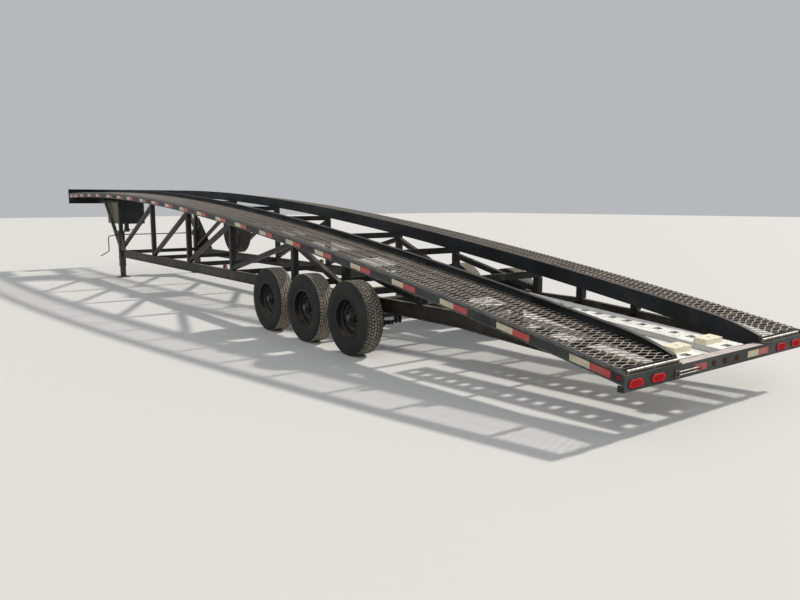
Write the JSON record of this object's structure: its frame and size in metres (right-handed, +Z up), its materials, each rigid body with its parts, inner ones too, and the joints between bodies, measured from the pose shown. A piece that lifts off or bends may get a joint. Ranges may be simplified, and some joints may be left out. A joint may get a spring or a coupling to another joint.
{
  "type": "car transporter trailer",
  "caption": "Gooseneck wedge trailer for carrying cars, with two arched mesh runways on a truss frame, parked on its front legs.",
  "frame": {"origin": "centre of the bounding box on the ground", "axes": "+X forward to the coupler, +Y to the trailer's left, +Z up"},
  "size_m": [16.15, 2.591, 1.965],
  "materials": {
    "frame_steel": "satin black-green paint, dusty",
    "tread_steel": "worn expanded metal",
    "jack_steel": "satin black paint",
    "bright_steel": "bare worn steel",
    "box_sheet": "dusty black sheet",
    "tyre": "worn tyre rubber",
    "rim": "black painted steel",
    "ramp_paint": "weathered pale aluminium",
    "red_lens": "red lens",
    "amber_lens": "amber lens",
    "spring_steel": "dusty spring steel"
  },
  "bodies": {
    "frame": {"axles": "frame_steel", "chord_markers": "amber_lens", "coupler_socket": "jack_steel", "coupler_tube": "frame_steel", "crank_handle": "jack_steel", "front_beam": "frame_steel", "id_lamps": "red_lens", "inner_rails": "frame_steel", "jack_cross_shaft": "bright_steel", "jack_gearboxes": "jack_steel", "jack_gussets": "frame_steel", "jack_legs": "jack_steel", "jack_tubes": "jack_steel", "leaf_springs": "spring_steel", "lower_cross_beams": "frame_steel", "lower_rails": "frame_steel", "neck_beams": "frame_steel", "outer_rails": "frame_steel", "ramp_bars": "bright_steel", "ramp_hooks": "ramp_paint", "ramp_latch": "bright_steel", "ramps": "ramp_paint", "rear_beam": "frame_steel", "runway_angles": "frame_steel", "runway_tread": "tread_steel", "side_markers": "red_lens", "spare_carrier": "frame_steel", "spare_rim": "rim", "spare_tyre": "tyre", "spring_equalizers": "spring_steel", "spring_hangers": "frame_steel", "spring_seats": "spring_steel", "tail_lamps": "red_lens", "tool_box": "box_sheet", "tool_box_hangers": "frame_steel", "truss_braces": "frame_steel", "truss_posts": "frame_steel", "upper_cross_beams": "frame_steel"},
    "rear_left_wheel": {"tyre_rear_left": "tyre", "wheel_rear_left": "rim"},
    "rear_right_wheel": {"tyre_rear_right": "tyre", "wheel_rear_right": "rim"},
    "middle_left_wheel": {"tyre_middle_left": "tyre", "wheel_middle_left": "rim"},
    "middle_right_wheel": {"tyre_middle_right": "tyre", "wheel_middle_right": "rim"},
    "front_left_wheel": {"tyre_front_left": "tyre", "wheel_front_left": "rim"},
    "front_right_wheel": {"tyre_front_right": "tyre", "wheel_front_right": "rim"},
    "box_door": {"tool_box_door": "box_sheet"}
  },
  "joints": [
    {"name": "rear_left_hub", "type": "hinge", "parent": "frame", "child": "rear_left_wheel", "pos_m": [-4.59, 1.1725, 0.403], "axis": [0, 1, 0], "continuous": true},
    {"name": "rear_right_hub", "type": "hinge", "parent": "frame", "child": "rear_right_wheel", "pos_m": [-4.59, -1.1725, 0.403], "axis": [0, 1, 0], "continuous": true},
    {"name": "middle_left_hub", "type": "hinge", "parent": "frame", "child": "middle_left_wheel", "pos_m": [-3.645, 1.1725, 0.403], "axis": [0, 1, 0], "continuous": true},
    {"name": "middle_right_hub", "type": "hinge", "parent": "frame", "child": "middle_right_wheel", "pos_m": [-3.645, -1.1725, 0.403], "axis": [0, 1, 0], "continuous": true},
    {"name": "front_left_hub", "type": "hinge", "parent": "frame", "child": "front_left_wheel", "pos_m": [-2.7, 1.1725, 0.403], "axis": [0, 1, 0], "continuous": true},
    {"name": "front_right_hub", "type": "hinge", "parent": "frame", "child": "front_right_wheel", "pos_m": [-2.7, -1.1725, 0.403], "axis": [0, 1, 0], "continuous": true},
    {"name": "box_door_hinge", "type": "hinge", "parent": "frame", "child": "box_door", "pos_m": [5.476, 0.525, 1.178], "axis": [0, -1, 0], "range_deg": [0, 90]}
  ]
}
